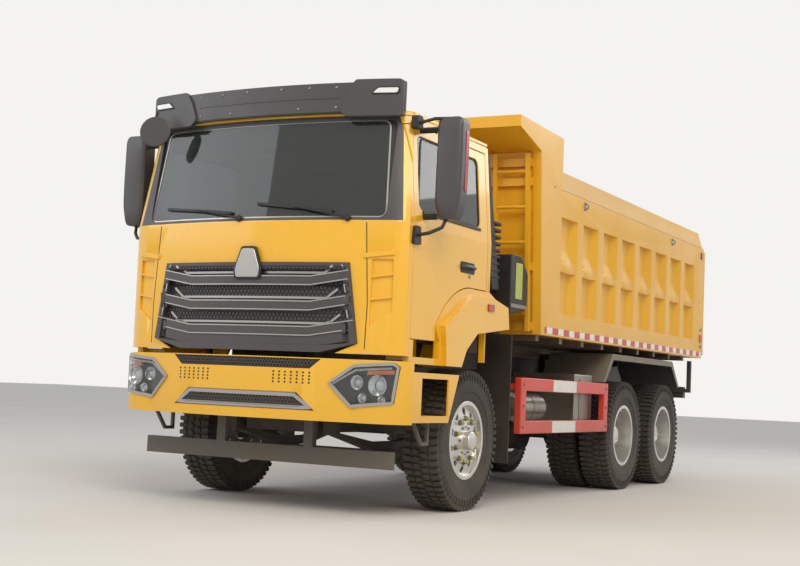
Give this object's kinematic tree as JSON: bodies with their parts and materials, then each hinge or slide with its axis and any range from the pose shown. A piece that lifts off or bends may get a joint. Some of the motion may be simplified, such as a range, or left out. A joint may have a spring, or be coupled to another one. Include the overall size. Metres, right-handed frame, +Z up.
{
  "type": "dump truck",
  "caption": "Forward-control tipper truck with a tilting cab, a ribbed body raised by a telescopic front hoist, a top-hung tailgate and steered front wheels.",
  "frame": {"origin": "on the ground, midway along the overall length and on the centre line", "axes": "+Z up, forward is -Y, the truck's left is +X"},
  "size_m": [3.02, 7.84, 3.2088],
  "materials": {
    "body_paint": "gloss",
    "load_floor_steel": "worn",
    "dark_chassis": "satin",
    "engine_iron": "matte",
    "hoist_barrel_steel": "satin",
    "hoist_chrome": "polished",
    "grey_plastic": "matte",
    "cab_trim": "matte",
    "tinted_glass": "polished",
    "lamp_lens": "polished",
    "guard_red": "satin",
    "tank_metal": "satin",
    "tank_black": "satin",
    "mudguard_plastic": "matte",
    "lamp_arm_steel": "satin",
    "ladder_steel": "satin",
    "tyre": "matte",
    "wheel_steel": "satin"
  },
  "bodies": {
    "chassis": {"frame": "dark_chassis", "subframe": "dark_chassis", "front_axle": "dark_chassis", "leaf_springs": "dark_chassis", "rear_axles": "dark_chassis", "engine": "engine_iron", "side_guards": "guard_red", "fuel_tank": "tank_metal", "air_tanks_battery": "tank_black", "silencer": "tank_metal", "mudguards": "mudguard_plastic", "rear_lamp_arms": "lamp_arm_steel", "air_filter": "grey_plastic", "bumper": "body_paint", "headlamps": "lamp_lens", "front_bar_steps": "dark_chassis"},
    "knuckle_left": {"knuckle_left": "dark_chassis"},
    "knuckle_right": {"knuckle_right": "dark_chassis"},
    "tie_rod": {"tie_rod": "dark_chassis"},
    "cab": {"cab_front": "body_paint", "cab_back": "body_paint", "cab_roof": "body_paint", "cab_sides": "body_paint", "cab_floor": "cab_trim", "windscreen": "tinted_glass", "grille": "grey_plastic", "sun_visor": "grey_plastic", "cab_interior": "cab_trim", "air_duct": "grey_plastic"},
    "door_left": {"door_left": "body_paint", "door_glass_left": "tinted_glass", "mirror_left": "grey_plastic"},
    "door_right": {"door_right": "body_paint", "door_glass_right": "tinted_glass", "mirror_right": "grey_plastic"},
    "bed": {"body_floor": "load_floor_steel", "body_side_left": "body_paint", "body_side_right": "body_paint", "headboard": "body_paint", "ladder": "ladder_steel"},
    "tailgate": {"tailgate": "body_paint"},
    "hoist_barrel": {"hoist_barrel": "hoist_barrel_steel"},
    "hoist_stage_1": {"hoist_stage_1": "hoist_chrome"},
    "hoist_stage_2": {"hoist_stage_2": "hoist_chrome"},
    "hoist_stage_3": {"hoist_stage_3": "hoist_chrome"},
    "hoist_stage_4": {"hoist_stage_4": "hoist_chrome"},
    "wheel_front_left": {"tyre_front_left": "tyre", "rim_front_left": "wheel_steel"},
    "wheels_mid_left": {"tyres_mid_left": "tyre", "rims_mid_left": "wheel_steel"},
    "wheels_rear_left": {"tyres_rear_left": "tyre", "rims_rear_left": "wheel_steel"},
    "wheel_front_right": {"tyre_front_right": "tyre", "rim_front_right": "wheel_steel"},
    "wheels_mid_right": {"tyres_mid_right": "tyre", "rims_mid_right": "wheel_steel"},
    "wheels_rear_right": {"tyres_rear_right": "tyre", "rims_rear_right": "wheel_steel"}
  },
  "joints": [
    {"name": "cab_tilt", "type": "hinge", "parent": "chassis", "child": "cab", "pos_m": [0, -3.81, 0.95], "axis": [1, 0, 0], "range_deg": [0, 45]},
    {"name": "door_left_hinge", "type": "hinge", "parent": "cab", "child": "door_left", "pos_m": [1.2, -3.585, 1.9], "axis": [0, 0, -1], "range_deg": [0, 70]},
    {"name": "door_right_hinge", "type": "hinge", "parent": "cab", "child": "door_right", "pos_m": [-1.2, -3.585, 1.9], "axis": [0, 0, 1], "range_deg": [0, 70]},
    {"name": "bed_tip", "type": "hinge", "parent": "chassis", "child": "bed", "pos_m": [0, 3.62, 1.18], "axis": [-1, 0, 0], "range_deg": [0, 45]},
    {"name": "tailgate_swing", "type": "hinge", "parent": "bed", "child": "tailgate", "pos_m": [0, 3.848, 2.8], "axis": [1, 0, 0], "range_deg": [0, 70]},
    {"name": "steer_left", "type": "hinge", "parent": "chassis", "child": "knuckle_left", "pos_m": [0.84, -2.5, 0.54], "axis": [0, 0, 1], "range_deg": [-35, 35]},
    {"name": "steer_right", "type": "hinge", "parent": "chassis", "child": "knuckle_right", "pos_m": [-0.84, -2.5, 0.54], "axis": [0, 0, 1], "range_deg": [-35, 35]},
    {"name": "tie_rod_joint", "type": "hinge", "parent": "knuckle_left", "child": "tie_rod", "pos_m": [0.84, -2.28, 0.41], "axis": [0, 0, 1], "range_deg": [-35, 35]},
    {"name": "hoist_lean", "type": "hinge", "parent": "chassis", "child": "hoist_barrel", "pos_m": [0, -1.7, 1], "axis": [-1, 0, 0], "range_deg": [0, 25.5]},
    {"name": "hoist_extend_1", "type": "slide", "parent": "hoist_barrel", "child": "hoist_stage_1", "axis": [0, 0, 1], "range_m": [0, 1.03]},
    {"name": "hoist_extend_2", "type": "slide", "parent": "hoist_stage_1", "child": "hoist_stage_2", "axis": [0, 0, 1], "range_m": [0, 1.03]},
    {"name": "hoist_extend_3", "type": "slide", "parent": "hoist_stage_2", "child": "hoist_stage_3", "axis": [0, 0, 1], "range_m": [0, 1.03]},
    {"name": "hoist_extend_4", "type": "slide", "parent": "hoist_stage_3", "child": "hoist_stage_4", "axis": [0, 0, 1], "range_m": [0, 1.03]},
    {"name": "wheel_front_left_spin", "type": "hinge", "parent": "knuckle_left", "child": "wheel_front_left", "pos_m": [1.03, -2.5, 0.54], "axis": [1, 0, 0], "continuous": true},
    {"name": "wheels_mid_left_spin", "type": "hinge", "parent": "chassis", "child": "wheels_mid_left", "pos_m": [0.9025, 1.125, 0.54], "axis": [1, 0, 0], "continuous": true},
    {"name": "wheels_rear_left_spin", "type": "hinge", "parent": "chassis", "child": "wheels_rear_left", "pos_m": [0.9025, 2.475, 0.54], "axis": [1, 0, 0], "continuous": true},
    {"name": "wheel_front_right_spin", "type": "hinge", "parent": "knuckle_right", "child": "wheel_front_right", "pos_m": [-1.03, -2.5, 0.54], "axis": [1, 0, 0], "continuous": true},
    {"name": "wheels_mid_right_spin", "type": "hinge", "parent": "chassis", "child": "wheels_mid_right", "pos_m": [-0.9025, 1.125, 0.54], "axis": [1, 0, 0], "continuous": true},
    {"name": "wheels_rear_right_spin", "type": "hinge", "parent": "chassis", "child": "wheels_rear_right", "pos_m": [-0.9025, 2.475, 0.54], "axis": [1, 0, 0], "continuous": true}
  ],
  "couplings": [
    {"joint": "steer_right", "follows": "steer_left", "ratio": 1},
    {"joint": "tie_rod_joint", "follows": "steer_left", "ratio": -1},
    {"joint": "hoist_lean", "follows": "bed_tip", "ratio": 0.5537},
    {"joint": "hoist_extend_1", "follows": "bed_tip", "m_per_rad": 1.2912},
    {"joint": "hoist_extend_2", "follows": "bed_tip", "m_per_rad": 1.2912},
    {"joint": "hoist_extend_3", "follows": "bed_tip", "m_per_rad": 1.2912},
    {"joint": "hoist_extend_4", "follows": "bed_tip", "m_per_rad": 1.2912}
  ]
}
